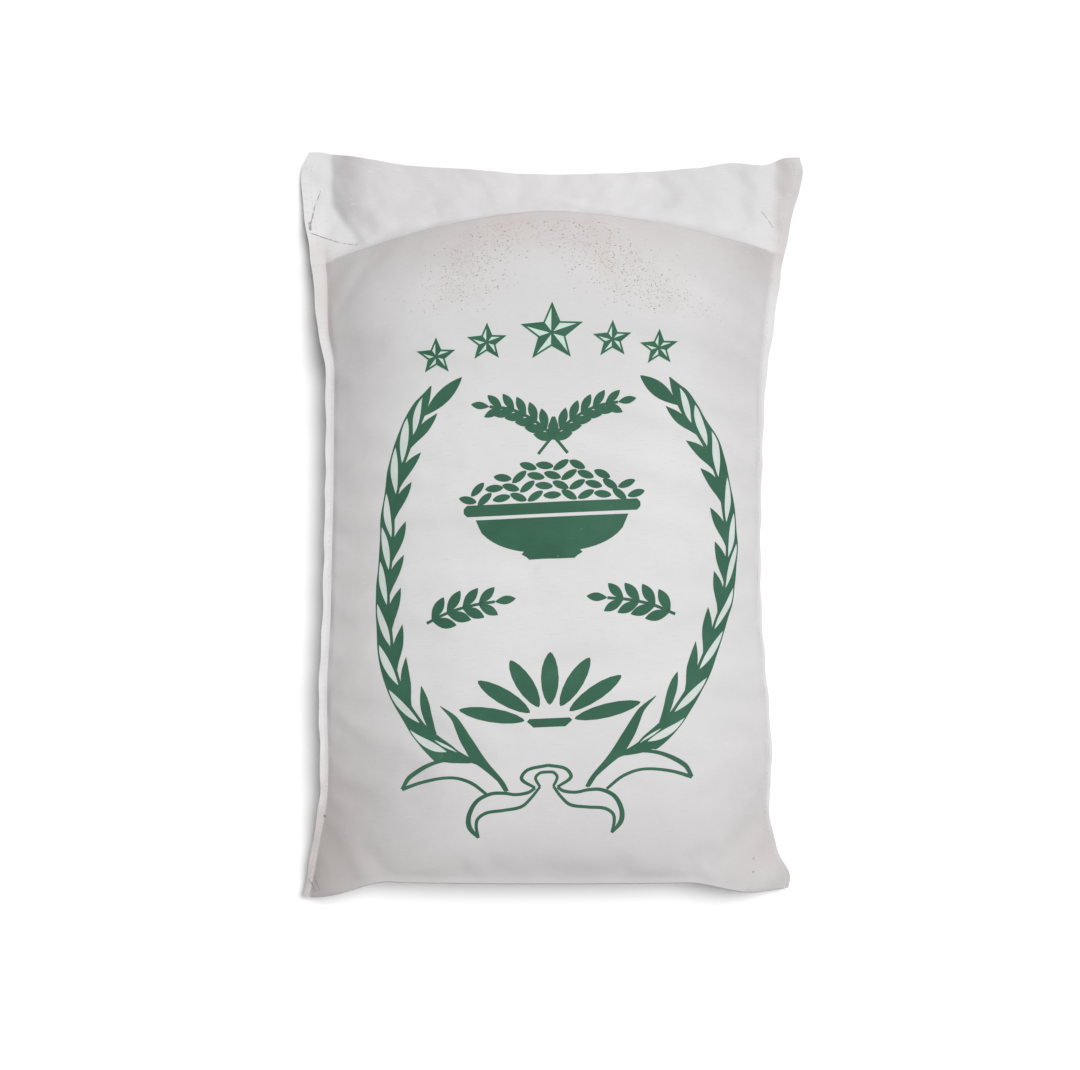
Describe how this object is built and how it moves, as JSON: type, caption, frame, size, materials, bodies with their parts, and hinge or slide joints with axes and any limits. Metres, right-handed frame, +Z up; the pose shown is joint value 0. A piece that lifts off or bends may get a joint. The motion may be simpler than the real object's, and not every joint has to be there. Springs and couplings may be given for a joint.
{
  "type": "bag of rice",
  "caption": "Filled cotton sack of rice lying on its back: a flat-bottomed, softly crowned body with sewn side seams, a curved shoulder and a flat empty mouth flap with two ears.",
  "frame": {"origin": "on the floor, below the centre of the sack's outer box", "axes": "+Z up, out of the printed face; +Y along the sack towards its mouth; +X to the right of the printed face"},
  "size_m": [0.3977, 0.59, 0.0892],
  "materials": {
    "cotton": "matt plain-weave white cotton, lightly soiled",
    "print": "matt green ink printed on the cloth",
    "thread": "matt white cotton sewing thread",
    "husk": "dry rice husk"
  },
  "bodies": {
    "root": {"rice_sack": "cotton"}
  },
  "joints": []
}
